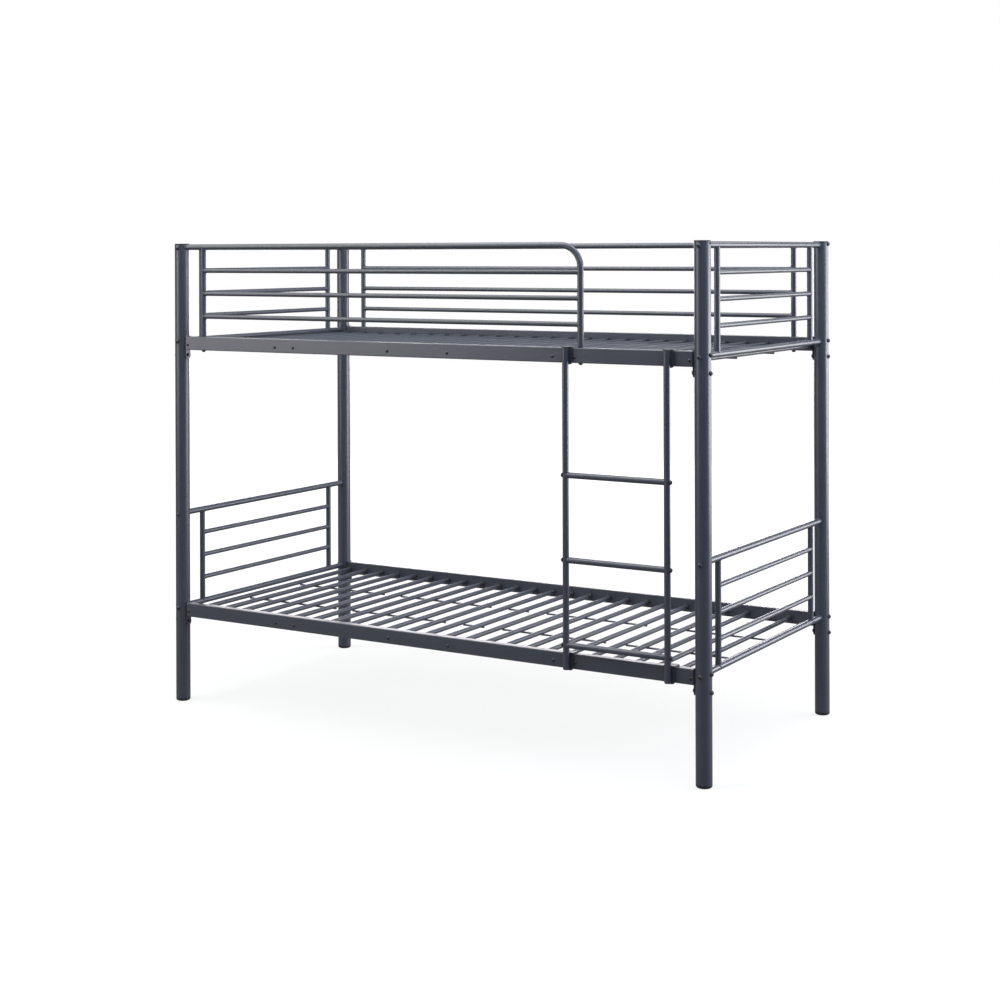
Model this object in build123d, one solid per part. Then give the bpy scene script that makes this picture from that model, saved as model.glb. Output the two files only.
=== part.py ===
from build123d import *
import os

# A tubular steel bunk bed: two equal single beds stacked on joint tubes, with a hook-on ladder.
# X runs along the bed, Y from the front to the back, Z up from the floor. Lengths are in mm.

# Layout of the whole bed
POST_SPACING_X = 1930.0
POST_SPACING_Y = 920.0
RAIL_TOP = 332.0
PANEL_TOP_DROP = 12.2
PANEL_BOTTOM_DROP = 13.0

# Corner posts, with a joint tube between the lower and the upper post of each corner
POST_DIAMETER = 48.0
POST_WALL = 1.2
LOWER_POST_TOP = 646.0
JOINT_TUBE_LENGTH = 225.0
UPPER_POST_LENGTH = 675.0
SPIGOT_REACH = 50.0
FOOT_RIM = 10.0
FOOT_EDGE_RADIUS = 7.0
CAP_RIM = 4.5
CAP_EDGE_RADIUS = 1.5
CAP_SKIRT = 18.0
CAP_SKIRT_WALL = 2.0

# Side rails: rectangular tubes with a drilled plate welded on each end
RAIL_DEPTH = 25.0
RAIL_HEIGHT = 45.0
RAIL_WALL = 1.2
RAIL_EDGE_RADIUS = 2.5
PLATE_THICKNESS = 3.0
PLATE_WIDTH = 20.0
PLATE_RISE = 2.5
PLATE_DROP = 30.0
PLATE_CORNER_RADIUS = 9.5
RAIL_BOLT_DROP = 13.5
PLATE_BOLT_DROP = 62.0

# Round tubes of the end panels, the guard rails and the ladder
FRAME_TUBE = 19.0
UPRIGHT_TUBE = 18.0
CROSS_ROD = 15.0
FRAME_WALL = 1.0
INSERT_LENGTH = 15.0
PANEL_UPRIGHT_INSET = 100.0
GUARD_UPRIGHT_INSET = 95.0
GUARD_LEG_INSET = 392.5
GUARD_BEND_RADIUS = 65.0

# Drop of the thin rods below the top tube, as shares of the height between a panel's long tubes
CROSS_ROD_SHARES = (0.2525, 0.4971, 0.7417)

# Slats: welded panels of round tubes with two cross wires underneath
SLAT_DIAMETER = 15.0
SLAT_WALL = 0.8
SLAT_END_INSET = 35.0
SLAT_DROP = 27.0
PANEL_SLAT_COUNTS = (6, 6, 2, 6, 6)
WIRE_DIAMETER = 6.0
WIRE_Y = 144.0
WIRE_OVERHANG = 2.0
WELD_SINK = 0.5
SLAT_CAP_DIAMETER = 18.3
SLAT_CAP_LENGTH = 24.0
SLAT_CAP_END = 2.0
PEG_DIAMETER = 9.0
PEG_LENGTH = 4.0

# Ladder
LADDER_INSET = 265.5
STILE_SPACING = 330.0
STILE_DIAMETER = 19.0
STILE_ABOVE_RAIL = 1.0
STILE_FOOT_RISE = 2.0
STILE_PLUG_RIM = 2.5
STILE_PLUG_SKIRT = 10.0
RUNG_DIAMETER = 18.0
TOP_RUNG_DROP = 374.0
LOWEST_RUNG_RISE = 27.0
HOOK_THICKNESS = 3.0
HOOK_WIDTH = 35.5
HOOK_CLEARANCE = 0.3
HOOK_LIP = 15.0
HOOK_TAIL = 4.0
HOOK_CORNER_RADIUS = 9.0
HOOK_WELD_WIDTH = 10.0
HOOK_WELD_DEPTH = 1.3
HOOK_WELD_MARGIN = 6.0

# Fasteners
BOLT_DIAMETER = 6.0
BOLT_HEAD_DIAMETER = 14.0
BOLT_HEAD_HEIGHT = 6.5
BOLT_HEAD_RIM = 1.5
BOLT_HOLE_DIAMETER = 8.0
BOLT_END_GAP = 1.0
BOLT_CROSSING = 3.2
SOCKET_WIDTH = 4.0
SOCKET_DEPTH = 2.4
NUT_WIDTH = 10.0
NUT_HEIGHT = 5.0
NUT_OVERRUN = 0.8
SCREW_DIAMETER = 5.0
SCREW_HEAD_DIAMETER = 10.5
SCREW_HEAD_HEIGHT = 3.0
SCREW_HEAD_RIM = 0.6
SCREW_HOLE_DIAMETER = 5.8

# Fits
SEAT_GAP = 0.1
SLIDE_GAP = 0.2
OVERRUN = 5.0

# Places worked out from the sizes above
POST_X = POST_SPACING_X / 2
POST_Y = POST_SPACING_Y / 2
POST_RADIUS = POST_DIAMETER / 2
POST_BORE = POST_DIAMETER - 2 * POST_WALL
DECK_PITCH = JOINT_TUBE_LENGTH + UPPER_POST_LENGTH
UPPER_POST_BOTTOM = LOWER_POST_TOP + JOINT_TUBE_LENGTH
UPPER_POST_TOP = UPPER_POST_BOTTOM + UPPER_POST_LENGTH - CAP_RIM
PLATE_FACE_X = POST_X - POST_RADIUS - SEAT_GAP
RAIL_BOTTOM = RAIL_TOP - RAIL_HEIGHT
PANEL_TOP = LOWER_POST_TOP - PANEL_TOP_DROP
PANEL_BOTTOM = RAIL_TOP - PANEL_BOTTOM_DROP
PANEL_UPRIGHT_Y = POST_Y - PANEL_UPRIGHT_INSET
GUARD_UPRIGHT_X = POST_X - GUARD_UPRIGHT_INSET
GUARD_LEG_X = POST_X - GUARD_LEG_INSET
LADDER_X = POST_X - LADDER_INSET
TOP_RUNG = DECK_PITCH + RAIL_TOP - TOP_RUNG_DROP
LOWEST_RUNG = RAIL_TOP + LOWEST_RUNG_RISE
SLAT_PITCH = (POST_SPACING_X - 2 * SLAT_END_INSET) / (sum(PANEL_SLAT_COUNTS) - 1)
SLAT_AXIS = RAIL_TOP - SLAT_DROP
SLAT_REACH = POST_Y - RAIL_DEPTH / 2
STILE_FRONT = POST_Y + RAIL_DEPTH / 2 + HOOK_CLEARANCE + HOOK_THICKNESS
STILE_Y = -(STILE_FRONT + STILE_DIAMETER / 2)
BACK_REACH = POST_Y + POST_RADIUS + BOLT_HEAD_HEIGHT
CENTRING_Y = (STILE_FRONT + STILE_DIAMETER - BACK_REACH) / 2

SIDES_X = {"left": -1, "right": 1}
SIDES_Y = {"front": -1, "back": 1}
DECKS = {"lower": 0.0, "upper": DECK_PITCH}
BOLT_LEVEL = RAIL_TOP - RAIL_BOLT_DROP
PANEL_BOLT_HEIGHTS = (BOLT_LEVEL - BOLT_CROSSING, PANEL_TOP - BOLT_CROSSING)
RAIL_BOLT_HEIGHTS = (BOLT_LEVEL + BOLT_CROSSING, RAIL_TOP - PLATE_BOLT_DROP)
GUARD_TUBE_HEIGHT = DECK_PITCH + PANEL_TOP
GUARD_BOLT_HEIGHT = GUARD_TUBE_HEIGHT + BOLT_CROSSING


def rod(start, end, diameter):
    """A round bar from one point to another."""
    origin = Vector(*start)
    run = Vector(*end) - origin
    return Solid.make_cylinder(diameter / 2, run.length, Plane(origin=origin, z_dir=run))


def block(low, high):
    """A rectangular block between two corners."""
    sizes = [b - a for a, b in zip(low, high)]
    return Solid.make_box(*sizes, Plane(origin=low))


def rounded_bar(low, high, radius):
    """A rectangular bar along X with rounded long edges."""
    bar = block(low, high)
    return fillet(bar.edges().filter_by(Axis.X), radius).solid()


def joined(pieces):
    """One solid from pieces that are welded or moulded together."""
    first, *rest = pieces
    return first.fuse(*rest).solid()


def group(solids):
    """Equal loose pieces that share one node."""
    return Compound(children=list(solids))


def placed(shape, origin, outward):
    """A copy of a shape, its own +Z turned to the outward direction."""
    return shape.moved(Plane(origin=origin, z_dir=outward).location)


def hexagon(width):
    """A hexagon of the given width across its flats."""
    return RegularPolygon(width / 2, 6, major_radius=False)


def headed_fastener(diameter, length, head_diameter, head_height, head_rim):
    """A button-head bolt: the seat of its head at the origin, its shank down, a hex socket on top."""
    crown = head_height - head_rim
    ball_radius = ((head_diameter / 2) ** 2 + crown ** 2) / (2 * crown)
    ball = Solid.make_sphere(ball_radius, Plane(origin=(0, 0, head_height - ball_radius)))
    disc = rod((0, 0, 0), (0, 0, head_height), head_diameter)
    shank = rod((0, 0, -length), (0, 0, head_rim), diameter)
    socket_floor = Plane(origin=(0, 0, head_height - SOCKET_DEPTH))
    socket = extrude(socket_floor * hexagon(SOCKET_WIDTH), SOCKET_DEPTH + OVERRUN)
    return ((disc & ball) + shank - socket).solid()


def bolt(length):
    """A black button-head bolt of the frame, with the given length under its head."""
    return headed_fastener(BOLT_DIAMETER, length, BOLT_HEAD_DIAMETER, BOLT_HEAD_HEIGHT, BOLT_HEAD_RIM)


def hex_nut():
    """A hexagon nut that stands on the origin."""
    prism = extrude(hexagon(NUT_WIDTH), NUT_HEIGHT)
    return (prism - rod((0, 0, -OVERRUN), (0, 0, NUT_HEIGHT + OVERRUN), BOLT_DIAMETER + SEAT_GAP)).solid()


def post_cylinder(x, y, diameter):
    """A full-height cylinder on a corner's axis, used to cope what meets the post."""
    return rod((x, y, -OVERRUN), (x, y, UPPER_POST_TOP + OVERRUN), diameter)


def cross_holes(x, y, radius, x_heights, y_heights):
    """Bolt holes straight through a post, along the bed and across it."""
    reach = radius + OVERRUN
    along = [rod((x - reach, y, z), (x + reach, y, z), BOLT_HOLE_DIAMETER) for z in x_heights]
    across = [rod((x, y - reach, z), (x, y + reach, z), BOLT_HOLE_DIAMETER) for z in y_heights]
    return along + across


def post(x, y, bottom, top, x_heights, y_heights):
    """A round steel post tube with its bolt holes."""
    tube = rod((x, y, bottom), (x, y, top), POST_DIAMETER)
    bore = rod((x, y, bottom - OVERRUN), (x, y, top + OVERRUN), POST_BORE)
    return tube.cut(bore, *cross_holes(x, y, POST_RADIUS, x_heights, y_heights)).solid()


def joint_tube(x, y, y_heights):
    """The tube between the two posts of a corner, on an inner sleeve that enters both."""
    sleeve_diameter = POST_BORE - 2 * SLIDE_GAP
    low = LOWER_POST_TOP - SPIGOT_REACH
    high = UPPER_POST_BOTTOM + SPIGOT_REACH
    sleeve = rod((x, y, low), (x, y, high), sleeve_diameter)
    cover = rod((x, y, LOWER_POST_TOP), (x, y, UPPER_POST_BOTTOM), POST_DIAMETER)
    bore = rod((x, y, low - OVERRUN), (x, y, high + OVERRUN), sleeve_diameter - 2 * POST_WALL)
    return joined([cover, sleeve]).cut(bore, *cross_holes(x, y, POST_RADIUS, (), y_heights)).solid()


def plug_skirt(x, y, start, end, bore):
    """The thin round skirt that holds a plastic plug in a tube of the given bore."""
    outer = bore - 2 * SEAT_GAP
    ring = rod((x, y, start), (x, y, end), outer)
    return ring.cut(rod((x, y, start), (x, y, end), outer - 2 * CAP_SKIRT_WALL))


def post_foot(x, y):
    """A moulded foot with a rounded lower edge, plugged into the lower post."""
    rim = rod((x, y, 0), (x, y, FOOT_RIM), POST_DIAMETER)
    rim = fillet(rim.edges().group_by(Axis.Z)[0], FOOT_EDGE_RADIUS)
    return joined([rim.solid(), plug_skirt(x, y, FOOT_RIM, FOOT_RIM + CAP_SKIRT, POST_BORE)])


def post_cap(x, y):
    """A moulded top cap whose slotted skirt straddles the crossing bolts."""
    top = UPPER_POST_TOP + CAP_RIM
    rim = rod((x, y, UPPER_POST_TOP), (x, y, top), POST_DIAMETER)
    rim = fillet(rim.edges().group_by(Axis.Z)[-1], CAP_EDGE_RADIUS)
    skirt = plug_skirt(x, y, UPPER_POST_TOP - CAP_SKIRT, UPPER_POST_TOP, POST_BORE)
    half = BOLT_HOLE_DIAMETER / 2
    low = UPPER_POST_TOP - CAP_SKIRT - OVERRUN
    slots = [
        block((x - POST_RADIUS, y - half, low), (x + POST_RADIUS, y + half, UPPER_POST_TOP)),
        block((x - half, y - POST_RADIUS, low), (x + half, y + POST_RADIUS, UPPER_POST_TOP)),
    ]
    prongs = skirt.cut(*slots).solids()
    return joined([rim.solid(), *prongs])


def slat_places():
    """The X places of the slats, in one list for each welded panel."""
    count = sum(PANEL_SLAT_COUNTS)
    places = [(i - (count - 1) / 2) * SLAT_PITCH for i in range(count)]
    panels = []
    for size in PANEL_SLAT_COUNTS:
        panels.append(places[:size])
        places = places[size:]
    return panels


def screwed_places():
    """The X places of the slats that are screwed to the rails: both outer slats of the large panels."""
    large = [xs for xs in slat_places() if len(xs) == max(PANEL_SLAT_COUNTS)]
    return [x for xs in large for x in (xs[0], xs[-1])]


def end_plate(side_x, y, base):
    """The plate on a rail's end, with rounded lower corners."""
    outer = side_x * PLATE_FACE_X
    inner = outer - side_x * PLATE_THICKNESS
    low = (min(outer, inner), y - PLATE_WIDTH / 2, base + RAIL_BOTTOM - PLATE_DROP)
    high = (max(outer, inner), y + PLATE_WIDTH / 2, base + RAIL_TOP + PLATE_RISE)
    plate = block(low, high)
    corners = plate.edges().filter_by(Axis.X).group_by(Axis.Z)[0]
    return fillet(corners, PLATE_CORNER_RADIUS).solid()


def side_rail(side_y, base, leg_places):
    """A rectangular side rail with its end plates and every hole that it is drilled with."""
    y = side_y * POST_Y
    half = RAIL_DEPTH / 2
    end = PLATE_FACE_X - PLATE_THICKNESS
    low = base + RAIL_BOTTOM
    high = base + RAIL_TOP
    tube = rounded_bar((-end, y - half, low), (end, y + half, high), RAIL_EDGE_RADIUS)
    hollow = rounded_bar(
        (-end, y - half + RAIL_WALL, low + RAIL_WALL),
        (end, y + half - RAIL_WALL, high - RAIL_WALL),
        RAIL_EDGE_RADIUS - RAIL_WALL,
    )
    rail = joined([tube.cut(hollow).solid(), end_plate(-1, y, base), end_plate(1, y, base)])

    axis = base + SLAT_AXIS
    inner_face = y - side_y * half
    outer_face = y + side_y * half
    cuts = []
    for height in RAIL_BOLT_HEIGHTS:
        z = base + height
        cuts.append(rod((-POST_X, y, z), (-end + OVERRUN, y, z), BOLT_HOLE_DIAMETER))
        cuts.append(rod((end - OVERRUN, y, z), (POST_X, y, z), BOLT_HOLE_DIAMETER))
    for x in leg_places:
        cuts.append(rod((x, y, low - OVERRUN), (x, y, high + OVERRUN), BOLT_HOLE_DIAMETER))
    for panel in slat_places():
        for x in panel:
            start = (x, inner_face - side_y * OVERRUN, axis)
            cuts.append(rod(start, (x, y, axis), PEG_DIAMETER + 2 * SLIDE_GAP))
    for x in screwed_places():
        cuts.append(rod((x, y, axis), (x, outer_face + side_y * OVERRUN, axis), SCREW_HOLE_DIAMETER))
    return rail.cut(*cuts).solid()


def cross_rod_heights(top):
    """The heights of the thin rods under a top tube."""
    return [top - share * (PANEL_TOP - PANEL_BOTTOM) for share in CROSS_ROD_SHARES]


def end_panel(side_x, base):
    """A welded end panel: two long tubes, two uprights and thin rods between them."""
    x = side_x * POST_X
    top = base + PANEL_TOP
    bottom = base + PANEL_BOTTOM
    inserts = POST_Y - POST_RADIUS - INSERT_LENGTH
    bars = []
    bores = []
    for z in (bottom, top):
        bars.append(rod((x, -POST_Y, z), (x, POST_Y, z), FRAME_TUBE))
        bores.append(rod((x, -inserts, z), (x, inserts, z), FRAME_TUBE - 2 * FRAME_WALL))
    for y in (-PANEL_UPRIGHT_Y, PANEL_UPRIGHT_Y):
        bars.append(rod((x, y, bottom), (x, y, top), UPRIGHT_TUBE))
        bores.append(rod((x, y, bottom), (x, y, top), UPRIGHT_TUBE - 2 * FRAME_WALL))
    for z in cross_rod_heights(top):
        ends = (x, -PANEL_UPRIGHT_Y, z), (x, PANEL_UPRIGHT_Y, z)
        bars.append(rod(*ends, CROSS_ROD))
        bores.append(rod(*ends, CROSS_ROD - 2 * FRAME_WALL))
    threads = [
        rod((x, -POST_Y, base + z), (x, POST_Y, base + z), BOLT_DIAMETER + 2 * SEAT_GAP)
        for z in PANEL_BOLT_HEIGHTS
    ]
    copes = [post_cylinder(x, y, POST_DIAMETER + 2 * SEAT_GAP) for y in (-POST_Y, POST_Y)]
    return joined(bars).cut(*bores, *threads, *copes).solid()


def guard_upright(x, y, tube_height, diameter):
    """An upright of a guard rail from the side rail to the top tube, with its bore above the insert."""
    foot = DECK_PITCH + RAIL_TOP
    bar = rod((x, y, foot), (x, y, tube_height), diameter)
    bore = rod((x, y, foot + INSERT_LENGTH), (x, y, tube_height), diameter - 2 * FRAME_WALL)
    return bar, bore


def foot_thread(x, y):
    """The threaded hole in the lower end of a guard rail's upright."""
    foot = DECK_PITCH + RAIL_TOP
    high = foot + INSERT_LENGTH + OVERRUN
    return rod((x, y, foot), (x, y, high), BOLT_DIAMETER + 2 * SEAT_GAP)


def guard_rods(low_x, high_x, y):
    """The thin rods of a guard rail and their bores."""
    bars = []
    bores = []
    for z in cross_rod_heights(GUARD_TUBE_HEIGHT):
        ends = (low_x, y, z), (high_x, y, z)
        bars.append(rod(*ends, CROSS_ROD))
        bores.append(rod(*ends, CROSS_ROD - 2 * FRAME_WALL))
    return bars, bores


def bent_tube(start_x, y, foot_height, diameter):
    """A round bar along the top of the front guard, round the bend and down its leg."""
    path = FilletPolyline(
        (start_x, y, GUARD_TUBE_HEIGHT),
        (GUARD_LEG_X, y, GUARD_TUBE_HEIGHT),
        (GUARD_LEG_X, y, foot_height),
        radius=GUARD_BEND_RADIUS,
    )
    section = Plane(origin=path @ 0, z_dir=path % 0) * Circle(diameter / 2)
    return sweep(section, path=path).solid()


def front_guard_rail():
    """The front guard: its top tube leaves the left post and bends down into the leg by the ladder."""
    y = -POST_Y
    foot = DECK_PITCH + RAIL_TOP
    insert_x = -POST_X + POST_RADIUS + INSERT_LENGTH
    bars, bores = guard_rods(-GUARD_UPRIGHT_X, GUARD_LEG_X, y)
    bar, bore = guard_upright(-GUARD_UPRIGHT_X, y, GUARD_TUBE_HEIGHT, UPRIGHT_TUBE)
    bars += [bar, bent_tube(-POST_X, y, foot, FRAME_TUBE)]
    bores += [bore, bent_tube(insert_x, y, foot + INSERT_LENGTH, FRAME_TUBE - 2 * FRAME_WALL)]
    thread_end = (insert_x + OVERRUN, y, GUARD_BOLT_HEIGHT)
    cuts = [
        *bores,
        rod((-POST_X, y, GUARD_BOLT_HEIGHT), thread_end, BOLT_DIAMETER + 2 * SEAT_GAP),
        foot_thread(-GUARD_UPRIGHT_X, y),
        foot_thread(GUARD_LEG_X, y),
        post_cylinder(-POST_X, y, POST_DIAMETER + 2 * SEAT_GAP),
    ]
    return joined(bars).cut(*cuts).solid()


def back_guard_rail():
    """The back guard: a straight top tube from post to post on two uprights."""
    y = POST_Y
    insert_x = POST_X - POST_RADIUS - INSERT_LENGTH
    bars, bores = guard_rods(-GUARD_UPRIGHT_X, GUARD_UPRIGHT_X, y)
    for x in (-GUARD_UPRIGHT_X, GUARD_UPRIGHT_X):
        bar, bore = guard_upright(x, y, GUARD_TUBE_HEIGHT, UPRIGHT_TUBE)
        bars.append(bar)
        bores.append(bore)
    z = GUARD_TUBE_HEIGHT
    bars.append(rod((-POST_X, y, z), (POST_X, y, z), FRAME_TUBE))
    bores.append(rod((-insert_x, y, z), (insert_x, y, z), FRAME_TUBE - 2 * FRAME_WALL))
    z = GUARD_BOLT_HEIGHT
    cuts = [
        *bores,
        rod((-POST_X, y, z), (POST_X, y, z), BOLT_DIAMETER + 2 * SEAT_GAP),
        foot_thread(-GUARD_UPRIGHT_X, y),
        foot_thread(GUARD_UPRIGHT_X, y),
        post_cylinder(-POST_X, y, POST_DIAMETER + 2 * SEAT_GAP),
        post_cylinder(POST_X, y, POST_DIAMETER + 2 * SEAT_GAP),
    ]
    return joined(bars).cut(*cuts).solid()


def slat(x, z, screwed):
    """One slat tube, with threaded inserts in its ends where it is screwed to the rails."""
    end = SLAT_REACH - SLAT_CAP_END
    tube = rod((x, -end, z), (x, end, z), SLAT_DIAMETER)
    bore_end = end - INSERT_LENGTH if screwed else end
    bore = rod((x, -bore_end, z), (x, bore_end, z), SLAT_DIAMETER - 2 * SLAT_WALL)
    thread = rod((x, -end, z), (x, end, z), SCREW_DIAMETER + 2 * SEAT_GAP)
    return tube.cut(bore, thread).solid()


def slat_panel(places, base):
    """A welded deck panel: its slats and the two cross wires under them."""
    z = base + SLAT_AXIS
    screwed = screwed_places()
    wire_z = z - SLAT_DIAMETER / 2 - WIRE_DIAMETER / 2 + WELD_SINK
    start = places[0] - WIRE_OVERHANG
    end = places[-1] + WIRE_OVERHANG
    slats = [slat(x, z, x in screwed) for x in places]
    wires = [rod((start, y, wire_z), (end, y, wire_z), WIRE_DIAMETER) for y in (-WIRE_Y, WIRE_Y)]
    return joined(slats + wires)


def slat_cap():
    """A plastic slat end: a sleeve that opens down, a closed end and a hollow peg on top."""
    mouth = SLAT_CAP_END - SLAT_CAP_LENGTH
    sleeve = rod((0, 0, mouth), (0, 0, SLAT_CAP_END), SLAT_CAP_DIAMETER)
    peg = rod((0, 0, 0), (0, 0, SLAT_CAP_END + PEG_LENGTH), PEG_DIAMETER)
    socket = rod((0, 0, mouth - OVERRUN), (0, 0, 0), SLAT_DIAMETER + 2 * SEAT_GAP)
    hole = rod((0, 0, mouth), (0, 0, SLAT_CAP_END + PEG_LENGTH + OVERRUN), SCREW_HOLE_DIAMETER)
    return joined([sleeve, peg]).cut(socket, hole).solid()


def slat_caps(base):
    """The plastic ends on both ends of every slat of a deck."""
    cap = slat_cap()
    seat = SLAT_REACH - SLAT_CAP_END
    z = base + SLAT_AXIS
    xs = [x for panel in slat_places() for x in panel]
    return [placed(cap, (x, side * seat, z), (0, side, 0)) for side in SIDES_Y.values() for x in xs]


def slat_screws(base):
    """The screws through the rails into the outer slats of each large panel."""
    length = RAIL_DEPTH + SLAT_CAP_END + INSERT_LENGTH - BOLT_END_GAP
    screw = headed_fastener(
        SCREW_DIAMETER, length, SCREW_HEAD_DIAMETER, SCREW_HEAD_HEIGHT, SCREW_HEAD_RIM
    )
    face = POST_Y + RAIL_DEPTH / 2
    z = base + SLAT_AXIS
    return [
        placed(screw, (x, side * face, z), (0, side, 0))
        for side in SIDES_Y.values()
        for x in screwed_places()
    ]


def rail_bolts(base):
    """The bolts through the posts into the rails' end plates."""
    length = POST_DIAMETER + SEAT_GAP + PLATE_THICKNESS + NUT_HEIGHT + NUT_OVERRUN
    piece = bolt(length)
    face = POST_X + POST_RADIUS
    return [
        placed(piece, (sx * face, sy * POST_Y, base + z), (sx, 0, 0))
        for sx in SIDES_X.values()
        for sy in SIDES_Y.values()
        for z in RAIL_BOLT_HEIGHTS
    ]


def rail_nuts(base):
    """The nuts on the inner faces of the rails' end plates."""
    piece = hex_nut()
    face = PLATE_FACE_X - PLATE_THICKNESS
    return [
        placed(piece, (sx * face, sy * POST_Y, base + z), (-sx, 0, 0))
        for sx in SIDES_X.values()
        for sy in SIDES_Y.values()
        for z in RAIL_BOLT_HEIGHTS
    ]


def panel_bolts(base):
    """The bolts through the posts into the end panels."""
    piece = bolt(POST_DIAMETER + INSERT_LENGTH - BOLT_END_GAP)
    face = POST_Y + POST_RADIUS
    return [
        placed(piece, (sx * POST_X, sy * face, base + z), (0, sy, 0))
        for sx in SIDES_X.values()
        for sy in SIDES_Y.values()
        for z in PANEL_BOLT_HEIGHTS
    ]


def guard_post_bolts():
    """The bolts through the posts into the guards' top tubes; the front right post has none."""
    piece = bolt(POST_DIAMETER + INSERT_LENGTH - BOLT_END_GAP)
    face = POST_X + POST_RADIUS
    corners = ((-1, -1), (-1, 1), (1, 1))
    return [
        placed(piece, (sx * face, sy * POST_Y, GUARD_BOLT_HEIGHT), (sx, 0, 0)) for sx, sy in corners
    ]


def guard_leg_places(side_y):
    """The X places where a guard stands on its side rail."""
    far = GUARD_LEG_X if side_y < 0 else GUARD_UPRIGHT_X
    return (-GUARD_UPRIGHT_X, far)


def guard_foot_bolts():
    """The bolts from under the upper side rails into the guards' uprights."""
    piece = bolt(RAIL_HEIGHT + INSERT_LENGTH - BOLT_END_GAP)
    z = DECK_PITCH + RAIL_BOTTOM
    return [
        placed(piece, (x, side * POST_Y, z), (0, 0, -1))
        for side in SIDES_Y.values()
        for x in guard_leg_places(side)
    ]


def stile_places():
    """The X places of the ladder's two stiles."""
    half = STILE_SPACING / 2
    return {"left": LADDER_X - half, "right": LADDER_X + half}


def rung_heights():
    """The heights of the rungs by name."""
    middle = (TOP_RUNG + LOWEST_RUNG) / 2
    return {"upper": TOP_RUNG, "middle": middle, "lower": LOWEST_RUNG}


def stile_ends():
    """The lower and the upper end of the stiles' steel tubes."""
    return RAIL_BOTTOM + STILE_FOOT_RISE, DECK_PITCH + RAIL_TOP + STILE_ABOVE_RAIL


def ladder_stile(x):
    """A ladder stile with a bolt hole at each rung."""
    low, high = stile_ends()
    tube = rod((x, STILE_Y, low), (x, STILE_Y, high), STILE_DIAMETER)
    bore = rod(
        (x, STILE_Y, low - OVERRUN), (x, STILE_Y, high + OVERRUN), STILE_DIAMETER - 2 * FRAME_WALL
    )
    holes = cross_holes(x, STILE_Y, STILE_DIAMETER / 2, rung_heights().values(), ())
    return tube.cut(bore, *holes).solid()


def ladder_plug(x, end, direction):
    """A moulded plug in the end of a stile."""
    reach = STILE_DIAMETER - 2 * FRAME_WALL
    rim = rod((x, STILE_Y, end), (x, STILE_Y, end + direction * STILE_PLUG_RIM), STILE_DIAMETER)
    edge = rim.edges().group_by(Axis.Z)[0 if direction < 0 else -1]
    rim = fillet(edge, STILE_PLUG_RIM / 2).solid()
    skirt = plug_skirt(x, STILE_Y, end - direction * STILE_PLUG_SKIRT, end, reach)
    return joined([rim, skirt.solid()])


def ladder_rung(z):
    """A rung with its ends coped to the stiles and threaded inserts inside."""
    left, right = stile_places().values()
    radius = STILE_DIAMETER / 2
    bar = rod((left, STILE_Y, z), (right, STILE_Y, z), RUNG_DIAMETER)
    low = left + radius + INSERT_LENGTH
    high = right - radius - INSERT_LENGTH
    bore = rod((low, STILE_Y, z), (high, STILE_Y, z), RUNG_DIAMETER - 2 * FRAME_WALL)
    thread = rod((left, STILE_Y, z), (right, STILE_Y, z), BOLT_DIAMETER + 2 * SEAT_GAP)
    span = RUNG_DIAMETER + OVERRUN
    copes = [
        rod((x, STILE_Y, z - span), (x, STILE_Y, z + span), STILE_DIAMETER + 2 * SEAT_GAP)
        for x in (left, right)
    ]
    return bar.cut(bore, thread, *copes).solid()


def rung_bolts():
    """The bolts through the stiles into the rungs."""
    piece = bolt(STILE_DIAMETER + INSERT_LENGTH - BOLT_END_GAP)
    places = stile_places()
    return [
        placed(piece, (places[side] + sx * STILE_DIAMETER / 2, STILE_Y, z), (sx, 0, 0))
        for side, sx in SIDES_X.items()
        for z in rung_heights().values()
    ]


def ladder_hook(x, base):
    """A flat steel hook over a side rail, with the weld that joins it to its stile."""
    front = -(POST_Y + RAIL_DEPTH / 2 + HOOK_CLEARANCE)
    back = -(POST_Y - RAIL_DEPTH / 2 - HOOK_CLEARANCE)
    half = HOOK_WIDTH / 2
    seat = base + RAIL_TOP + HOOK_CLEARANCE
    top = seat + HOOK_THICKNESS
    tail = base + RAIL_BOTTOM - HOOK_TAIL
    face = front - HOOK_THICKNESS
    leg = block((x - half, face, tail), (x + half, front, top))
    leg = fillet(leg.edges().filter_by(Axis.Y).group_by(Axis.Z)[0], HOOK_CORNER_RADIUS).solid()
    bridge = block((x - half, front, seat), (x + half, back, top))
    lip_low = base + RAIL_TOP - HOOK_LIP
    lip = block((x - half, back, lip_low), (x + half, back + HOOK_THICKNESS, top))
    weld_half = HOOK_WELD_WIDTH / 2
    weld = block(
        (x - weld_half, face - HOOK_WELD_DEPTH, tail + HOOK_WELD_MARGIN),
        (x + weld_half, face, seat - HOOK_WELD_MARGIN),
    )
    stile = rod(
        (x, STILE_Y, tail - OVERRUN), (x, STILE_Y, top + OVERRUN), STILE_DIAMETER + SEAT_GAP
    )
    return joined([leg, bridge, lip, weld]).cut(stile).solid()


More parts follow.
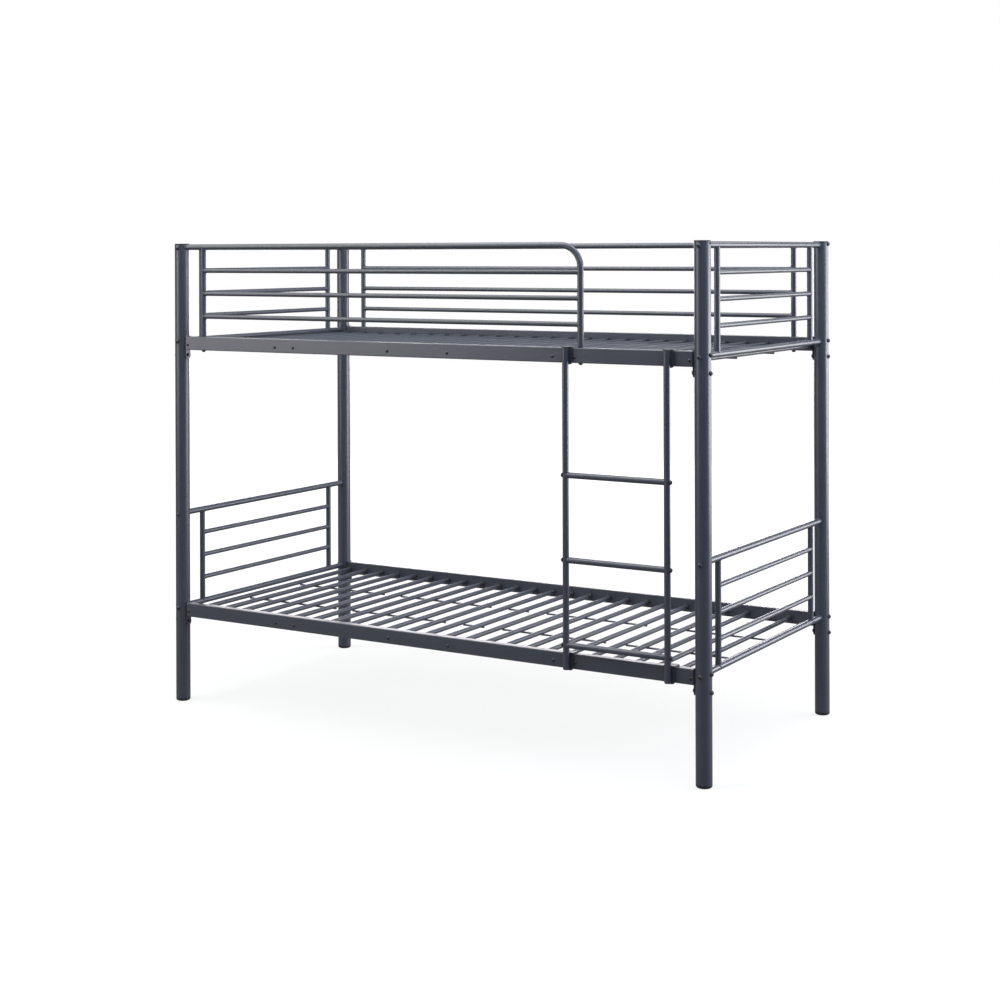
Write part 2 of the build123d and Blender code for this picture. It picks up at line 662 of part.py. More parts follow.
def bed_pieces():
    """Every node of the two beds."""
    pieces = {}
    panel_bolts_upper = [DECK_PITCH + z for z in PANEL_BOLT_HEIGHTS]
    rail_bolts_upper = [DECK_PITCH + z for z in RAIL_BOLT_HEIGHTS]
    corners = [
        (f"{name_y}_{name_x}", sx * POST_X, sy * POST_Y)
        for name_y, sy in SIDES_Y.items()
        for name_x, sx in SIDES_X.items()
    ]
    for corner, x, y in corners:
        pieces[f"lower_post_{corner}"] = post(
            x, y, FOOT_RIM, LOWER_POST_TOP, RAIL_BOLT_HEIGHTS, PANEL_BOLT_HEIGHTS
        )
        pieces[f"joint_tube_{corner}"] = joint_tube(x, y, PANEL_BOLT_HEIGHTS[1:])
        pieces[f"upper_post_{corner}"] = post(
            x,
            y,
            UPPER_POST_BOTTOM,
            UPPER_POST_TOP,
            rail_bolts_upper + [GUARD_BOLT_HEIGHT],
            panel_bolts_upper,
        )
    pieces["post_feet"] = group(post_foot(x, y) for _, x, y in corners)
    pieces["post_caps"] = group(post_cap(x, y) for _, x, y in corners)

    for deck, base in DECKS.items():
        for side, sy in SIDES_Y.items():
            legs = guard_leg_places(sy) if deck == "upper" else ()
            pieces[f"{deck}_side_rail_{side}"] = side_rail(sy, base, legs)
        for side, sx in SIDES_X.items():
            pieces[f"{deck}_end_panel_{side}"] = end_panel(sx, base)
        for number, places in enumerate(slat_places(), start=1):
            pieces[f"{deck}_slat_panel_{number}"] = slat_panel(places, base)
        pieces[f"{deck}_slat_caps"] = group(slat_caps(base))
    pieces["front_guard_rail"] = front_guard_rail()
    pieces["back_guard_rail"] = back_guard_rail()

    decks = DECKS.values()
    pieces["rail_bolts"] = group(piece for base in decks for piece in rail_bolts(base))
    pieces["rail_nuts"] = group(piece for base in decks for piece in rail_nuts(base))
    pieces["end_panel_bolts"] = group(piece for base in decks for piece in panel_bolts(base))
    pieces["slat_screws"] = group(piece for base in decks for piece in slat_screws(base))
    pieces["guard_post_bolts"] = group(guard_post_bolts())
    pieces["guard_foot_bolts"] = group(guard_foot_bolts())
    return pieces


def ladder_pieces():
    """Every node of the ladder."""
    pieces = {}
    places = stile_places()
    low, high = stile_ends()
    for side, x in places.items():
        pieces[f"ladder_stile_{side}"] = ladder_stile(x)
        for deck, base in DECKS.items():
            pieces[f"ladder_hook_{deck}_{side}"] = ladder_hook(x, base)
    for name, z in rung_heights().items():
        pieces[f"ladder_rung_{name}"] = ladder_rung(z)
    ends = ((low, -1), (high, 1))
    pieces["ladder_plugs"] = group(ladder_plug(x, z, way) for x in places.values() for z, way in ends)
    pieces["ladder_rung_bolts"] = group(rung_bolts())
    return pieces


def main():
    """Centre the bed over the origin and write one file for each node."""
    os.makedirs("parts", exist_ok=True)
    to_centre = Location((0, CENTRING_Y, 0))
    for name, shape in {**bed_pieces(), **ladder_pieces()}.items():
        export_step(shape.moved(to_centre), f"parts/{name}.step")


main()
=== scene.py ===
import math

import bpy
from mathutils import Matrix, Vector


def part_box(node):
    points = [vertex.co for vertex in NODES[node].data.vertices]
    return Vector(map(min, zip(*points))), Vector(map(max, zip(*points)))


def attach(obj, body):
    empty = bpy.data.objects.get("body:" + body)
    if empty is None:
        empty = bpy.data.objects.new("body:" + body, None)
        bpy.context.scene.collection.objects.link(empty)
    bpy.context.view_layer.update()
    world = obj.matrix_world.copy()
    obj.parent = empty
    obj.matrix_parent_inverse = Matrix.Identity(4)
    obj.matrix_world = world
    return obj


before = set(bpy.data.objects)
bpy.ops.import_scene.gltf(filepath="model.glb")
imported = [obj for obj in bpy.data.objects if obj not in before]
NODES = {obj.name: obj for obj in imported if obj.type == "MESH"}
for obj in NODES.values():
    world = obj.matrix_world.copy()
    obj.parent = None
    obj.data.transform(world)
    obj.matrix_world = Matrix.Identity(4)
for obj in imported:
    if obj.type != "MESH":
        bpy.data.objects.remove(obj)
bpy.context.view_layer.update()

bl_info = {
    "name": "Bunk bed finish",
    "version": (1, 0, 0),
    "blender": (4, 5, 0),
    "location": "View3D > Sidebar > Bunk bed",
    "description": "Dresses the frame of a tubular steel bunk bed and sets up its studio",
    "category": "Object",
}

MM = 0.001

# How the names of the CAD nodes that aren't coated tubes end or begin
PLASTIC_ENDINGS = ("caps", "feet", "plugs")
SLAT_CAP_ENDING = "slat_caps"
FASTENER_ENDINGS = ("bolts", "nuts", "screws")
HOOK_BEGINNING = "ladder_hook"

STEEL_FINISH = "charcoal_powder_coat"  # the welds take it too

# Radii and places of the welded tubes, as in the part's source
LONG_TUBE_RADIUS = 9.5 * MM
UPRIGHT_RADIUS = 9.0 * MM
ROD_RADIUS = 7.5 * MM
WIRE_RADIUS = 3.0 * MM
UPRIGHT_REACH = 360 * MM  # from the middle of an end panel to its uprights
GUARD_UPRIGHT_X = 870 * MM
WIRE_REACH = 144 * MM  # from the middle of a deck to the wires under its slats
SLAT_COUNT = 26
SLAT_PITCH = 74.4 * MM
# How far down the three rods lie between a panel's long tubes
ROD_SHARES = (0.2525, 0.4971, 0.7417)

# How the weld beads are modelled
BEAD_BITE = 0.3 * MM  # how deep a bead reaches into the tubes that it joins
BAR_SIDES = 28
WALL_SIDES = 64
# The cutters are long enough to pass right through a bead
BAR_CUTTER_LENGTH = 4  # in reaches of the collar
WALL_CUTTER_LENGTH = 6  # in radii of the tube that the bar meets
COLLAR_ROUNDING = 0.45  # as a share of the weld's leg
COLLAR_LUMPS_MM = {"lump_mm": 2.5, "depth_mm": 0.6}
WIRE_BEAD_LUMPS_MM = {"lump_mm": 2.0, "depth_mm": 0.5}
WIRE_BEAD_STRETCH = (0.8, 1.5, 0.6)  # across the slat, along it and upwards
MERGE_DISTANCE = 0.01 * MM
SHARP_ANGLE = math.radians(50)
ALONG_X = (0, math.pi / 2, 0)  # turns a cylinder's axis from Z to X

# Greys and strengths of the floor and the background
FLOOR_GREY = 0.1
FLOOR_GREY_SEEN = 0.15
FADE_START = 0.5  # metres from the middle of the bed
FADE_END = 4.5
FLOOR_EDGE_GLOW = 1.05
BACKGROUND_LIGHT = 0.02
BACKGROUND_SHEEN = 0.2
BACKGROUND_WHITE = 1.0

SENSOR_WIDTH_MM = 36.0
VIEW_DISTANCE = 100.0

# Name, place, point it looks at, width and height in metres, radiance and colour of each lamp
SOFTBOXES = (
    ("right_softbox", (6.03, 2.43, 0.9), (0.0, 0.0, 0.9), (1.7, 1.6), 15.5, (0.84, 0.90, 1.0)),
    ("right_high_softbox", (5.6, 0.2, 3.1), (0.9, 0.1, 1.5), (3.2, 2.8), 4.4, (0.80, 0.88, 1.0)),
    ("right_back_panel", (3.6, 3.6, 1.1), (0.6, 0.2, 0.8), (2.6, 2.1), 7.6, (0.99, 0.98, 1.0)),
    ("low_back_panel", (-3.0, 6.5, 1.3), (0.0, 0.0, 0.8), (6.0, 1.4), 7.3, (1.0, 0.96, 0.98)),
    ("front_left_softbox", (-3.8, -4.4, 1.8), (-0.3, 0.0, 0.9), (3.0, 2.4), 4.4, (1.0, 0.95, 0.97)),
    ("front_right_softbox", (2.7, -2.2, 3.1), (0.9, -0.3, 1.3), (1.8, 1.8), 4.8, (0.76, 0.84, 1.0)),
    ("top_front_softbox", (-2.0, -1.8, 3.9), (-0.1, -0.3, 1.0), (3.4, 3.4), 4.5, (0.97, 1.0, 0.93)),
    ("top_softbox", (0.0, 0.0, 4.5), (0.0, 0.0, 1.0), (4.0, 3.0), 4.7, (0.94, 0.95, 1.0)),
    ("top_back_softbox", (2.0, 2.4, 4.2), (0.0, 0.0, 1.0), (3.0, 3.0), 3.8, (0.97, 1.0, 0.97)),
)


def linear(hex_colour):
    """An sRGB hex colour as linear values."""
    parts = [int(hex_colour[i:i + 2], 16) / 255 for i in (1, 3, 5)]
    return [c / 12.92 if c <= 0.04045 else ((c + 0.055) / 1.055) ** 2.4 for c in parts]


class BunkFinishSettings(bpy.types.PropertyGroup):
    """Colours of the bed's finishes and sizes of its weld beads."""

    coat: bpy.props.FloatVectorProperty(
        name="Powder coat", description="Charcoal powder coat of all the steel tubes",
        subtype="COLOR", size=3, min=0, max=1, default=linear("#3A3E49"),
    )
    # The hooks' coat is a touch darker than the frame's: painted shade of the stile that stands in
    # front of them
    hook_coat: bpy.props.FloatVectorProperty(
        name="Hook coat", description="Slightly darker coat of the ladder's flat hooks",
        subtype="COLOR", size=3, min=0, max=1, default=linear("#393C46"),
    )
    plastic: bpy.props.FloatVectorProperty(
        name="Moulded plastic", description="Black of the feet, caps and plugs",
        subtype="COLOR", size=3, min=0, max=1, default=linear("#17181B"),
    )
    slat_end: bpy.props.FloatVectorProperty(
        name="Slat ends", description="Dark grey plastic of the slat ends",
        subtype="COLOR", size=3, min=0, max=1, default=linear("#2A2C32"),
    )
    fastener: bpy.props.FloatVectorProperty(
        name="Fastener", description="Black oxide of the bolts, nuts and screws",
        subtype="COLOR", size=3, min=0, max=1, default=linear("#2A2C33"),
    )
    weld_leg: bpy.props.FloatProperty(
        name="Weld leg", description="How far the painted weld beads stand out from the tubes",
        default=1.8 * MM, min=0.5 * MM, max=4 * MM, precision=4, unit="LENGTH",
    )
    wire_bead: bpy.props.FloatProperty(
        name="Wire bead", description="Radius of the beads between slats and wires",
        default=3.2 * MM, min=1 * MM, max=6 * MM, precision=4, unit="LENGTH",
    )


class BunkStageSettings(bpy.types.PropertyGroup):
    """The studio and its camera."""

    floor_glow: bpy.props.FloatProperty(
        name="Floor glow", default=0.74,
        description="Light that lifts the floor under the bed to the white of the background",
    )
    floor_bounce: bpy.props.FloatProperty(
        name="Floor bounce", default=0.2,
        description="Light that the pale floor throws up at the bed",
    )
    floor_size: bpy.props.FloatProperty(
        name="Floor size", description="Width of the square floor", default=24.0, unit="LENGTH",
    )
    camera_place: bpy.props.FloatVectorProperty(
        name="Camera place", description="Where the camera stands",
        subtype="TRANSLATION", size=3, default=(3.0689, -5.0274, 1.5154),
    )
    camera_yaw: bpy.props.FloatProperty(
        name="Camera yaw", description="Turn of the camera to the left of +Y",
        subtype="ANGLE", default=math.radians(31.247),
    )
    camera_roll: bpy.props.FloatProperty(
        name="Camera roll", description="Roll of the camera about its own axis",
        subtype="ANGLE", default=math.radians(-0.191),
    )
    camera_lens: bpy.props.FloatProperty(
        name="Lens", description="Focal length on a sensor 36 mm wide",
        subtype="DISTANCE_CAMERA", default=63.694,
    )
    camera_drop: bpy.props.FloatProperty(
        name="Lens shift", default=-0.2484,
        description="Vertical shift that frames the whole bed with a level camera",
    )


# Materials


def add_node(tree, kind, links=None, **settings):
    """Adds a node, sets its values and links its inputs."""
    node = tree.nodes.new(kind)
    for name, value in settings.items():
        if name in node.bl_rna.properties:
            setattr(node, name, value)
        else:
            node.inputs[name.replace("_", " ")].default_value = value
    for name, socket in (links or {}).items():
        tree.links.new(socket, node.inputs[name])
    return node


def empty_material(name):
    """A material with only an output."""
    material = bpy.data.materials.new(name)
    material.use_nodes = True
    tree = material.node_tree
    tree.nodes.clear()
    return material, tree, tree.nodes.new("ShaderNodeOutputMaterial")


def per_size(size_mm):
    """The scale of a noise whose lumps are this large."""
    return 1.0 / (size_mm * MM)


def rgba(colour, gain=1.0):
    """A colour with alpha, made lighter or darker by a gain."""
    return (*[min(1.0, c * gain) for c in colour], 1.0)


def powder_coat(name, colour, roughness=0.3):
    """Baked polyester powder coat on steel: satin, with a fine orange peel and a cloudy tone."""
    material, tree, out = empty_material(name)
    place = add_node(tree, "ShaderNodeTexCoord").outputs["Object"]
    # The film's thickness wanders over a hand's width, and tone and gloss with it
    cloud = add_node(
        tree, "ShaderNodeTexNoise", {"Vector": place}, Scale=per_size(90), Detail=3.0
    ).outputs["Fac"]
    tone = add_node(
        tree, "ShaderNodeMix", {"Factor": cloud},
        data_type="RGBA", A=rgba(colour, 0.9), B=rgba(colour, 1.1),
    )
    gloss = add_node(
        tree, "ShaderNodeMapRange", {"Value": cloud},
        To_Min=roughness - 0.04, To_Max=roughness + 0.06,
    )
    # Orange peel is about 1 mm across and is drawn at 3 mm so that it shows
    peel = add_node(tree, "ShaderNodeTexNoise", {"Vector": place}, Scale=per_size(3), Detail=2.0)
    bump = add_node(
        tree, "ShaderNodeBump", {"Height": peel.outputs["Fac"]}, Strength=0.06, Distance=0.2 * MM
    )
    shader = add_node(
        tree, "ShaderNodeBsdfPrincipled",
        {
            "Base Color": tone.outputs["Result"],
            "Roughness": gloss.outputs["Result"],
            "Normal": bump.outputs["Normal"],
        },
        IOR=1.5,
    )
    tree.links.new(shader.outputs["BSDF"], out.inputs["Surface"])
    return material


def moulded_plastic(name, colour):
    """Injection-moulded polyethylene: matte, with a fine spark-eroded grain."""
    material, tree, out = empty_material(name)
    place = add_node(tree, "ShaderNodeTexCoord").outputs["Object"]
    # The mould's grain is about 0.4 mm and is drawn at 1.5 mm so that it shows
    grain = add_node(
        tree, "ShaderNodeTexNoise", {"Vector": place}, Scale=per_size(1.5), Detail=3.0
    ).outputs["Fac"]
    tone = add_node(
        tree, "ShaderNodeMix", {"Factor": grain},
        data_type="RGBA", A=rgba(colour, 0.8), B=rgba(colour, 1.25),
    )
    bump = add_node(tree, "ShaderNodeBump", {"Height": grain}, Strength=0.25, Distance=0.15 * MM)
    shader = add_node(
        tree, "ShaderNodeBsdfPrincipled",
        {"Base Color": tone.outputs["Result"], "Normal": bump.outputs["Normal"]},
        Roughness=0.55, IOR=1.49,
    )
    tree.links.new(shader.outputs["BSDF"], out.inputs["Surface"])
    return material


def black_oxide(name, colour):
    """Black oxide on steel fasteners: an oiled, slightly uneven dark skin."""
    material, tree, out = empty_material(name)
    place = add_node(tree, "ShaderNodeTexCoord").outputs["Object"]
    # The oil dries in blotches a few millimetres across
    blotch = add_node(
        tree, "ShaderNodeTexNoise", {"Vector": place}, Scale=per_size(4), Detail=4.0
    ).outputs["Fac"]
    tone = add_node(
        tree, "ShaderNodeMix", {"Factor": blotch},
        data_type="RGBA", A=rgba(colour, 0.8), B=rgba(colour, 1.5),
    )
    gloss = add_node(tree, "ShaderNodeMapRange", {"Value": blotch}, To_Min=0.28, To_Max=0.45)
    shader = add_node(
        tree, "ShaderNodeBsdfPrincipled",
        {"Base Color": tone.outputs["Result"], "Roughness": gloss.outputs["Result"]},
        Metallic=0.15,
    )
    tree.links.new(shader.outputs["BSDF"], out.inputs["Surface"])
    return material


def dress(names, material):
    """Gives CAD nodes their finish."""
    for name in names:
        mesh = NODES[name].data
        mesh.materials.clear()
        mesh.materials.append(material)


class BUNK_OT_dress_steel(bpy.types.Operator):
    """Powder-coats the posts, rails, panels, guards, slats and the ladder"""

    bl_idname = "bunk.dress_steel"
    bl_label = "Steel tubes"

    def execute(self, context):
        colours = context.scene.bunk_finish
        steel = powder_coat(STEEL_FINISH, colours.coat)
        # The hooks get a darker, rougher coat: painted shade of the stile in front of them, not a
        # different paint
        hook_steel_painted_shade = powder_coat("hook_powder_coat_painted_shade", colours.hook_coat, roughness=0.4)
        hooks = [n for n in NODES if n.startswith(HOOK_BEGINNING)]
        loose = [n for n in NODES if n.endswith(PLASTIC_ENDINGS + FASTENER_ENDINGS)]
        dress([n for n in NODES if n not in hooks + loose], steel)
        dress(hooks, hook_steel_painted_shade)
        return {"FINISHED"}


class BUNK_OT_dress_plastic(bpy.types.Operator):
    """Gives the feet, caps, plugs and slat ends their moulded plastic"""

    bl_idname = "bunk.dress_plastic"
    bl_label = "Plastic ends"

    def execute(self, context):
        colours = context.scene.bunk_finish
        black = moulded_plastic("black_moulded_plastic", colours.plastic)
        grey = moulded_plastic("dark_grey_moulded_plastic", colours.slat_end)
        slat_ends = [n for n in NODES if n.endswith(SLAT_CAP_ENDING)]
        dress([n for n in NODES if n.endswith(PLASTIC_ENDINGS) and n not in slat_ends], black)
        dress(slat_ends, grey)
        return {"FINISHED"}


class BUNK_OT_dress_fasteners(bpy.types.Operator):
    """Gives the bolts, nuts and screws their black oxide"""

    bl_idname = "bunk.dress_fasteners"
    bl_label = "Fasteners"

    def execute(self, context):
        oxide = black_oxide("black_oxide_steel", context.scene.bunk_finish.fastener)
        dress([n for n in NODES if n.endswith(FASTENER_ENDINGS)], oxide)
        return {"FINISHED"}


# Welds


def select_only(piece):
    """Makes a piece the active and only selected one."""
    bpy.ops.object.select_all(action="DESELECT")
    bpy.context.view_layer.objects.active = piece
    piece.select_set(True)


def apply_modifier(piece, kind, **settings):
    """Adds a modifier to the active piece and applies it."""
    modifier = piece.modifiers.new(kind.lower(), kind)
    for name, value in settings.items():
        setattr(modifier, name, value)
    bpy.ops.object.modifier_apply(modifier=modifier.name)


def cut_by(piece, tool, operation):
    """Applies a boolean with another mesh and drops that mesh."""
    select_only(piece)
    apply_modifier(piece, "BOOLEAN", operation=operation, object=tool, solver="EXACT")
    bpy.data.objects.remove(tool)


def roughen(piece, lump_mm, depth_mm):
    """Gives a bead the uneven skin of a hand weld."""
    lumps = bpy.data.textures.new("weld_lumps", "CLOUDS")
    lumps.noise_scale = lump_mm * MM
    apply_modifier(
        piece, "DISPLACE", texture=lumps, strength=depth_mm * MM, texture_coords="LOCAL"
    )
    bpy.data.textures.remove(lumps)


def weld_collar(bar_radius, wall_radius, leg):
    """The bead round a tube along +X where it leaves the side of a tube along Z."""
    bpy.ops.object.select_all(action="DESELECT")
    reach = wall_radius + leg
    bpy.ops.mesh.primitive_cylinder_add(
        vertices=BAR_SIDES, radius=bar_radius + leg, depth=reach,
        location=(reach / 2, 0, 0), rotation=ALONG_X,
    )
    collar = bpy.context.active_object
    bpy.ops.object.transform_apply(location=True, rotation=True)
    for radius, operation in ((reach, "INTERSECT"), (wall_radius - BEAD_BITE, "DIFFERENCE")):
        bpy.ops.mesh.primitive_cylinder_add(
            vertices=WALL_SIDES, radius=radius, depth=WALL_CUTTER_LENGTH * wall_radius
        )
        cut_by(collar, bpy.context.active_object, operation)
    bpy.ops.mesh.primitive_cylinder_add(
        vertices=BAR_SIDES, radius=bar_radius - BEAD_BITE, depth=BAR_CUTTER_LENGTH * reach,
        rotation=ALONG_X,
    )
    cut_by(collar, bpy.context.active_object, "DIFFERENCE")
    apply_modifier(
        collar, "BEVEL", width=COLLAR_ROUNDING * leg, segments=2, limit_method="ANGLE"
    )
    roughen(collar, **COLLAR_LUMPS_MM)
    return collar


def wire_bead(radius):
    """The short bead between a slat along Y at the origin and the wire under it."""
    bpy.ops.object.select_all(action="DESELECT")
    bpy.ops.mesh.primitive_ico_sphere_add(subdivisions=2, radius=radius)
    bead = bpy.context.active_object
    bpy.ops.object.mode_set(mode="EDIT")
    bpy.ops.transform.resize(value=WIRE_BEAD_STRETCH)
    bpy.ops.object.mode_set(mode="OBJECT")
    roughen(bead, **WIRE_BEAD_LUMPS_MM)
    return bead


def place_copies(name, pattern, places):
    """Copies a modelled piece to each place, joins the copies and drops the pattern."""
    bpy.ops.object.select_all(action="DESELECT")
    for place in places:
        copy = bpy.data.objects.new(name, pattern.data.copy())
        bpy.context.scene.collection.objects.link(copy)
        copy.matrix_world = place
        copy.select_set(True)
    bpy.context.view_layer.objects.active = copy
    bpy.ops.object.transform_apply(location=True, rotation=True, scale=True)
    bpy.ops.object.join()
    bpy.data.objects.remove(pattern)
    joined = bpy.context.active_object
    joined.name = name
    return joined


def finish_weld(piece):
    """Merges and shades a joined set of beads, coats it and lets it ride on the bed."""
    select_only(piece)
    bpy.ops.object.mode_set(mode="EDIT")
    bpy.ops.mesh.select_all(action="SELECT")
    bpy.ops.mesh.remove_doubles(threshold=MERGE_DISTANCE)
    bpy.ops.mesh.normals_make_consistent(inside=False)
    bpy.ops.object.mode_set(mode="OBJECT")
    bpy.ops.object.shade_smooth_by_angle(angle=SHARP_ANGLE)
    piece.data.materials.clear()
    piece.data.materials.append(bpy.data.materials[STEEL_FINISH])
    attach(piece, "bed")


def facing(place, ahead, along):
    """A place whose +X points ahead, down the bar, and whose +Z runs along the other tube."""
    ahead, along = Vector(ahead), Vector(along)
    side = along.cross(ahead)
    return Matrix.Translation(place) @ Matrix((ahead, side, along)).transposed().to_4x4()


def long_tube_heights(low, high):
    """The heights of the bottom and top tubes of an end panel with this box."""
    return low[2] + LONG_TUBE_RADIUS, high[2] - LONG_TUBE_RADIUS


def rod_heights(bottom, top):
    """The heights of the three rods between a panel's long tubes."""
    return [top - share * (top - bottom) for share in ROD_SHARES]


def end_panels():
    """For each end panel: X, the Ys of its uprights, and the heights of its long tubes."""
    for deck in ("lower", "upper"):
        for side in ("left", "right"):
            low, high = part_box(f"{deck}_end_panel_{side}")
            x, y = [(low[i] + high[i]) / 2 for i in (0, 1)]
            yield x, (y - UPRIGHT_REACH, y + UPRIGHT_REACH), long_tube_heights(low, high)


def guards():
    """For each guard: Y, the Xs of both ends, its top tube's height, and if an end is bent."""
    for name, bent in (("front_guard_rail", True), ("back_guard_rail", False)):
        low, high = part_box(name)
        right = high[0] - LONG_TUBE_RADIUS if bent else GUARD_UPRIGHT_X
        yield (low[1] + high[1]) / 2, (-GUARD_UPRIGHT_X, right), high[2] - LONG_TUBE_RADIUS, bent


def rod_weld_places():
    """Where the thin rods meet the uprights, and the front guard's bent leg."""
    for x, ys, (bottom, top) in end_panels():
        for z in rod_heights(bottom, top):
            for y, way in zip(ys, (1, -1)):
                yield facing((x, y, z), (0, way, 0), (0, 0, 1))
    # The guards' rods lie level with those of the upper end panels
    bottom, top = long_tube_heights(*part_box("upper_end_panel_left"))
    for y, xs, _, _ in guards():
        for z in rod_heights(bottom, top):
            for x, way in zip(xs, (1, -1)):
                yield facing((x, y, z), (way, 0, 0), (0, 0, 1))


def upright_weld_places():
    """Where the uprights meet the long tubes. A guard's bent leg has no weld at its top."""
    for x, ys, (bottom, top) in end_panels():
        for y in ys:
            yield facing((x, y, bottom), (0, 0, 1), (0, 1, 0))
            yield facing((x, y, top), (0, 0, -1), (0, 1, 0))
    for y, xs, top, bent in guards():
        for x in xs[:1] if bent else xs:
            yield facing((x, y, top), (0, 0, -1), (1, 0, 0))


def wire_weld_places():
    """Where the slats of both decks lie on their two wires."""
    for deck in ("lower", "upper"):
        low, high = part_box(f"{deck}_slat_panel_3")
        middle = (low[1] + high[1]) / 2
        contact = low[2] + 2 * WIRE_RADIUS
        for i in range(SLAT_COUNT):
            x = (i - (SLAT_COUNT - 1) / 2) * SLAT_PITCH
            for side in (-1, 1):
                yield Matrix.Translation((x, middle + side * WIRE_REACH, contact))


class BUNK_OT_weld_frames(bpy.types.Operator):
    """Puts the painted weld beads on the end panels and guards"""

    bl_idname = "bunk.weld_frames"
    bl_label = "Frame welds"

    def execute(self, context):
        leg = context.scene.bunk_finish.weld_leg
        rod_collar = weld_collar(ROD_RADIUS, UPRIGHT_RADIUS, leg)
        rod_welds = place_copies("rod_welds", rod_collar, rod_weld_places())
        upright_collar = weld_collar(UPRIGHT_RADIUS, LONG_TUBE_RADIUS, leg)
        upright_welds = place_copies("upright_welds", upright_collar, upright_weld_places())
        for piece in (rod_welds, upright_welds):
            finish_weld(piece)
        return {"FINISHED"}


class BUNK_OT_weld_slats(bpy.types.Operator):
    """Puts the beads between the slats and the wires under them"""

    bl_idname = "bunk.weld_slats"
    bl_label = "Slat welds"

    def execute(self, context):
        bead = wire_bead(context.scene.bunk_finish.wire_bead)
        finish_weld(place_copies("slat_welds", bead, wire_weld_places()))
        return {"FINISHED"}


# Studio


def grey_by_ray(tree, others, **rays):
    """A grey that is its own for each kind of ray named, and the same for all others."""
    path = add_node(tree, "ShaderNodeLightPath")
    links = {}
    for kind, value in rays.items():
        switch = add_node(
            tree, "ShaderNodeMix", {"Factor": path.outputs[f"Is {kind} Ray"], **links},
            data_type="RGBA", A=rgba([others] * 3), B=rgba([value] * 3),
        )
        links = {"A": switch.outputs["Result"]}
    return switch.outputs["Result"]


def studio_floor(settings):
    """A pale floor that keeps the bed's soft shadow and fades into the white background."""
    bpy.ops.object.select_all(action="DESELECT")
    bpy.ops.mesh.primitive_plane_add(size=settings.floor_size)
    floor = bpy.context.active_object
    floor.name = "studio_floor"
    material, tree, out = empty_material("pale_studio_floor")
    place = add_node(tree, "ShaderNodeTexCoord").outputs["Object"]
    reach = add_node(tree, "ShaderNodeVectorMath", {0: place}, operation="LENGTH")
    # Lamps fall off away from the bed, so the floor's own glow makes up for them
    fade = add_node(
        tree, "ShaderNodeMapRange", {"Value": reach.outputs["Value"]},
        From_Min=FADE_START, From_Max=FADE_END,
        To_Min=settings.floor_glow, To_Max=FLOOR_EDGE_GLOW,
    )
    path = add_node(tree, "ShaderNodeLightPath")
    strength = add_node(
        tree, "ShaderNodeMix",
        {"Factor": path.outputs["Is Camera Ray"], "B": fade.outputs["Result"]},
        A=settings.floor_bounce,
    )
    glow = add_node(
        tree, "ShaderNodeEmission", {"Strength": strength.outputs["Result"]}, Color=(1, 1, 1, 1)
    )
    grey = grey_by_ray(tree, FLOOR_GREY, Camera=FLOOR_GREY_SEEN)
    diffuse = add_node(tree, "ShaderNodeBsdfDiffuse", {"Color": grey})
    both = add_node(
        tree, "ShaderNodeAddShader", {0: diffuse.outputs["BSDF"], 1: glow.outputs["Emission"]}
    )
    tree.links.new(both.outputs["Shader"], out.inputs["Surface"])
    floor.data.materials.append(material)


def studio_world():
    """A white background that is dim in the coat's gloss and gives hardly any light."""
    world = bpy.data.worlds.new("pale_studio")
    bpy.context.scene.world = world
    world.use_nodes = True
    tree = world.node_tree
    tree.nodes.clear()
    out = tree.nodes.new("ShaderNodeOutputWorld")
    grey = grey_by_ray(
        tree, BACKGROUND_LIGHT, Glossy=BACKGROUND_SHEEN, Camera=BACKGROUND_WHITE
    )
    light = add_node(tree, "ShaderNodeBackground", {"Color": grey})
    tree.links.new(light.outputs["Background"], out.inputs["Surface"])


def softbox(name, place, target, size, radiance, colour):
    """A rectangular soft lamp that looks at a point."""
    lamp = bpy.data.lights.new(name, "AREA")
    lamp.shape = "RECTANGLE"
    lamp.size, lamp.size_y = size
    # A flat lamp's power is pi times its radiance and its area
    lamp.energy = radiance * math.pi * size[0] * size[1]
    lamp.color = colour
    holder = bpy.data.objects.new(name, lamp)
    bpy.context.scene.collection.objects.link(holder)
    way = Vector(target) - Vector(place)
    holder.location = place
    holder.rotation_euler = way.to_track_quat("-Z", "Y").to_euler()


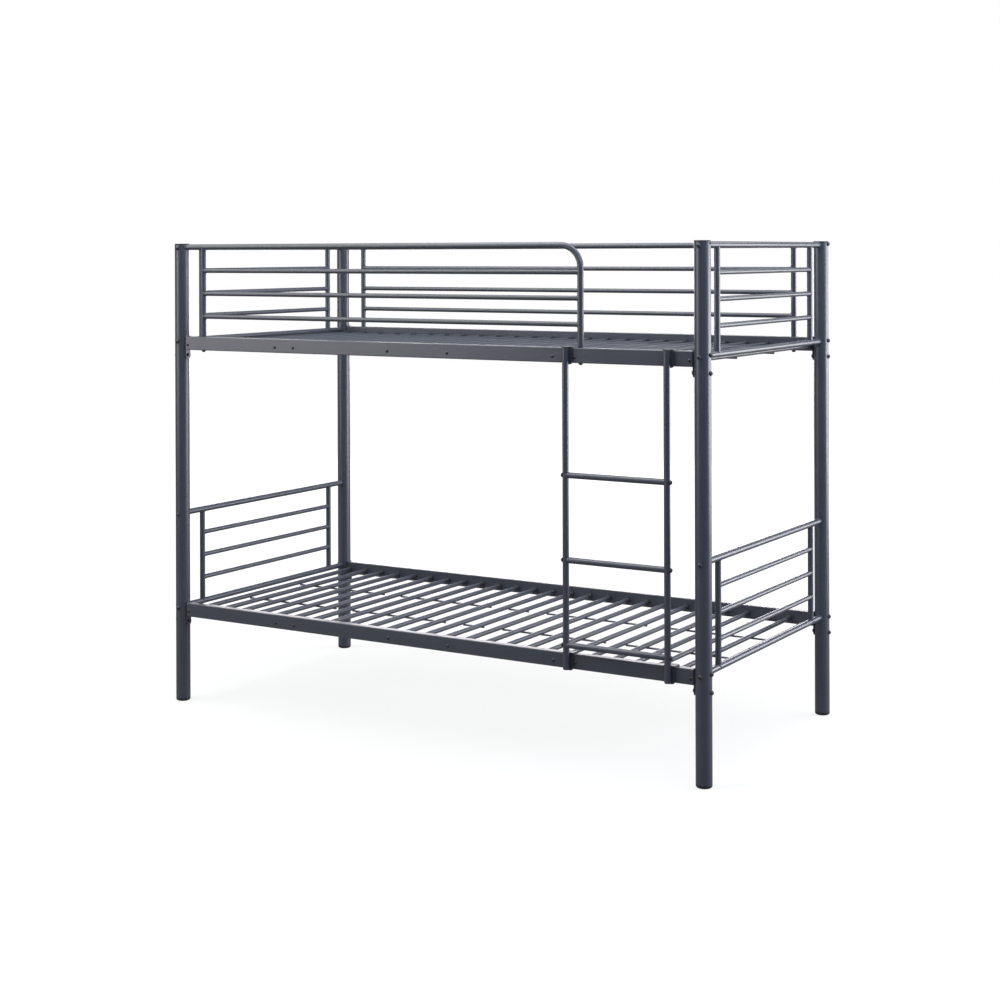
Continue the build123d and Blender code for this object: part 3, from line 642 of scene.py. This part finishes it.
def studio_camera(settings):
    """The camera at the photograph's viewing angle."""
    data = bpy.data.cameras.new("studio_camera")
    data.sensor_width = SENSOR_WIDTH_MM
    data.lens = settings.camera_lens
    data.shift_y = settings.camera_drop
    data.clip_end = VIEW_DISTANCE
    camera = bpy.data.objects.new("studio_camera", data)
    bpy.context.scene.collection.objects.link(camera)
    yaw, roll = settings.camera_yaw, settings.camera_roll
    ahead = Vector((-math.sin(yaw), math.cos(yaw), 0))
    level = Vector((math.cos(yaw), math.sin(yaw), 0))
    up = Vector((0, 0, 1))
    right = level * math.cos(roll) + up * math.sin(roll)
    above = up * math.cos(roll) - level * math.sin(roll)
    turn = Matrix((right, above, -ahead)).transposed()
    camera.matrix_world = Matrix.Translation(settings.camera_place) @ turn.to_4x4()
    bpy.context.scene.camera = camera


class BUNK_OT_stage(bpy.types.Operator):
    """Sets up the floor, the soft light and the camera"""

    bl_idname = "bunk.stage"
    bl_label = "Studio"

    def execute(self, context):
        settings = context.scene.bunk_stage
        studio_floor(settings)
        studio_world()
        for lamp in SOFTBOXES:
            softbox(*lamp)
        studio_camera(settings)
        context.scene.view_settings.view_transform = "Standard"
        return {"FINISHED"}


STEPS = (
    BUNK_OT_stage,
    BUNK_OT_dress_steel,
    BUNK_OT_dress_plastic,
    BUNK_OT_dress_fasteners,
    BUNK_OT_weld_frames,
    BUNK_OT_weld_slats,
)


class BUNK_PT_pieces(bpy.types.Panel):
    """Lists the steps that dress the bed"""

    bl_idname = "BUNK_PT_pieces"
    bl_label = "Bunk bed"
    bl_space_type = "VIEW_3D"
    bl_region_type = "UI"
    bl_category = "Bunk bed"

    def draw(self, context):
        for step in STEPS:
            self.layout.operator(step.bl_idname)


CLASSES = (BunkFinishSettings, BunkStageSettings, *STEPS, BUNK_PT_pieces)


def register():
    """Makes the operators, the panel and the settings known."""
    for cls in CLASSES:
        bpy.utils.register_class(cls)
    bpy.types.Scene.bunk_finish = bpy.props.PointerProperty(type=BunkFinishSettings)
    bpy.types.Scene.bunk_stage = bpy.props.PointerProperty(type=BunkStageSettings)


def unregister():
    """Takes them away again."""
    del bpy.types.Scene.bunk_finish
    del bpy.types.Scene.bunk_stage
    for cls in reversed(CLASSES):
        bpy.utils.unregister_class(cls)


def main():
    """Registers the add-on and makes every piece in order."""
    register()
    bpy.ops.bunk.stage()
    bpy.ops.bunk.dress_steel()
    bpy.ops.bunk.dress_plastic()
    bpy.ops.bunk.dress_fasteners()
    bpy.ops.bunk.weld_frames()
    bpy.ops.bunk.weld_slats()


if __name__ == "__main__":
    main()
